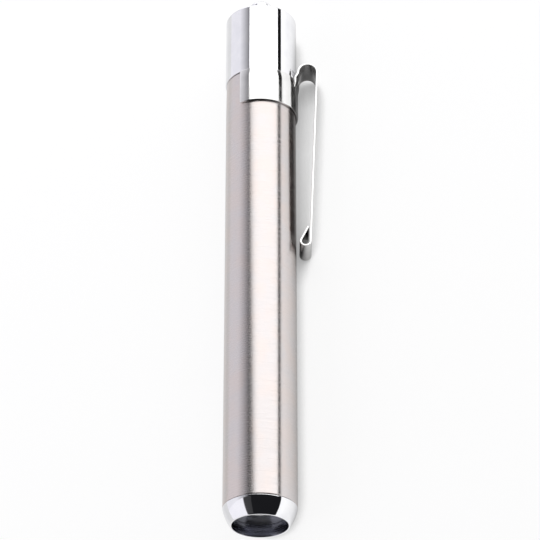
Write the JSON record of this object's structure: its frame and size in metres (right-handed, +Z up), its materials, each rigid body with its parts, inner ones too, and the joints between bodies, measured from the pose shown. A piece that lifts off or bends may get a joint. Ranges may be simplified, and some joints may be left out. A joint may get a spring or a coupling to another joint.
{
  "type": "penlight",
  "caption": "Slim penlight with a brushed steel barrel, chrome nose and screw-on tail cap, domed push button and a sprung pocket clip on an open band.",
  "frame": {"origin": "centre of the footprint box on the table that the penlight lies on, below the middle of its length", "axes": "+Y along the barrel from the lens to the push button; +Z up; +X to the side that the pocket clip leans towards"},
  "size_m": [0.019, 0.117, 0.015],
  "materials": {
    "brushed_tube": "satin",
    "chrome_plate": "polished",
    "clip_steel": "polished",
    "clear_lens": "gloss",
    "clear_dome": "gloss",
    "bright_cup": "polished",
    "board": "satin",
    "chip": "matte",
    "seal_rubber": "matte",
    "white_plastic": "satin",
    "brass_parts": "satin",
    "cell_jacket": "gloss",
    "spring_wire": "satin"
  },
  "bodies": {
    "barrel": {"barrel": "brushed_tube", "nose_bezel": "chrome_plate", "lens": "clear_lens", "lens_seal": "seal_rubber", "reflector": "bright_cup", "led_dome": "clear_dome", "led_base": "white_plastic", "led_board": "board", "current_resistor": "chip", "positive_contact": "brass_parts", "retaining_ring": "brass_parts", "insulating_washer": "white_plastic", "liner_sleeve": "white_plastic", "front_cell": "cell_jacket", "rear_cell": "cell_jacket", "clip_band": "clip_steel"},
    "clip": {"clip_arm": "clip_steel"},
    "cap_carriage": {"cap_seal": "seal_rubber", "tail_spring": "spring_wire"},
    "cap": {"tail_cap": "chrome_plate", "switch_cup": "white_plastic", "spring_terminal": "brass_parts", "switch_retainer": "brass_parts", "button_spring": "spring_wire"},
    "button": {"push_button": "chrome_plate", "contact_pin": "brass_parts"}
  },
  "joints": [
    {"name": "clip_flex", "type": "hinge", "parent": "barrel", "child": "clip", "pos_m": [0.00456, 0.0397, 0.00439], "axis": [0.4129, 0, 0.9108], "range_deg": [0, 6], "stiffness_Nm_per_rad": 0.9, "springref_deg": -1.15},
    {"name": "cap_feed", "type": "slide", "parent": "barrel", "child": "cap_carriage", "axis": [0, 1, 0], "range_m": [0, 0.004], "deforming": ["tail_spring"]},
    {"name": "cap_turn", "type": "hinge", "parent": "cap_carriage", "child": "cap", "pos_m": [-0.00231, 0.04553, 0.00751], "axis": [0, 1, 0], "range_deg": [0, 1440]},
    {"name": "button_press", "type": "slide", "parent": "cap", "child": "button", "axis": [0, -1, 0], "range_m": [0, 0.002], "stiffness_N_per_m": 1200, "springref_m": -0.001, "deforming": ["button_spring"]}
  ],
  "couplings": [
    {"joint": "cap_feed", "follows": "cap_turn", "m_per_rad": 0.00015915}
  ]
}
